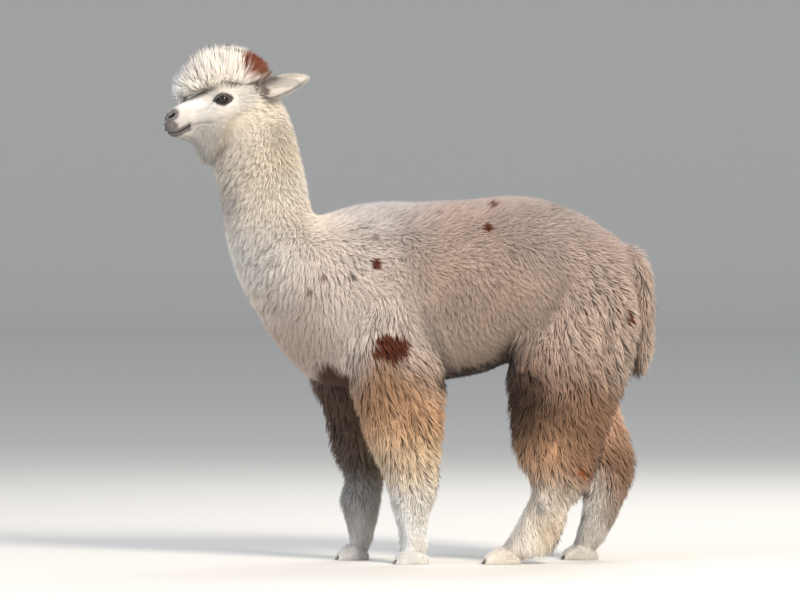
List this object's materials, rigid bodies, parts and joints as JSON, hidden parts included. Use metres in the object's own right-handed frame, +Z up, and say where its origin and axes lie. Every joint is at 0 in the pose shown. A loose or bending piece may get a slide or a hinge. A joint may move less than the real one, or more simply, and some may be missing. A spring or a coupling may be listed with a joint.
{
  "type": "standing alpaca model",
  "caption": "Life-size still model of a standing huacaya alpaca with a round topknot, long woolly neck, thick fleece, swept-back ears and two-toed feet.",
  "frame": {"origin": "on the floor, under the middle of the model's bounding box", "axes": "the animal faces -X, its left side is -Y, and +Z is up"},
  "size_m": [1.228, 0.43, 1.2901],
  "materials": {
    "fawn_fleece": "soft crimped fleece, fawn with a rose tint",
    "cream_fleece": "soft crimped fleece, cream",
    "brown_fleece": "shaggy locks, tan to dark brown",
    "white_hair": "short smooth hair, white",
    "nail": "dull dark horn",
    "eye": "wet and dark"
  },
  "bodies": {
    "root": {"head": "white_hair", "topknot": "cream_fleece", "ear_left": "white_hair", "ear_right": "white_hair", "eye_left": "eye", "eye_right": "eye", "neck": "cream_fleece", "trunk": "fawn_fleece", "tail": "fawn_fleece", "fore_leg_left_upper": "brown_fleece", "fore_leg_left_lower": "cream_fleece", "fore_leg_left_foot": "white_hair", "fore_leg_left_nail_inner": "nail", "fore_leg_left_nail_outer": "nail", "fore_leg_right_upper": "brown_fleece", "fore_leg_right_lower": "cream_fleece", "fore_leg_right_foot": "white_hair", "fore_leg_right_nail_inner": "nail", "fore_leg_right_nail_outer": "nail", "hind_leg_left_upper": "brown_fleece", "hind_leg_left_lower": "cream_fleece", "hind_leg_left_foot": "white_hair", "hind_leg_left_nail_inner": "nail", "hind_leg_left_nail_outer": "nail", "hind_leg_right_upper": "brown_fleece", "hind_leg_right_lower": "cream_fleece", "hind_leg_right_foot": "white_hair", "hind_leg_right_nail_inner": "nail", "hind_leg_right_nail_outer": "nail"}
  },
  "joints": []
}
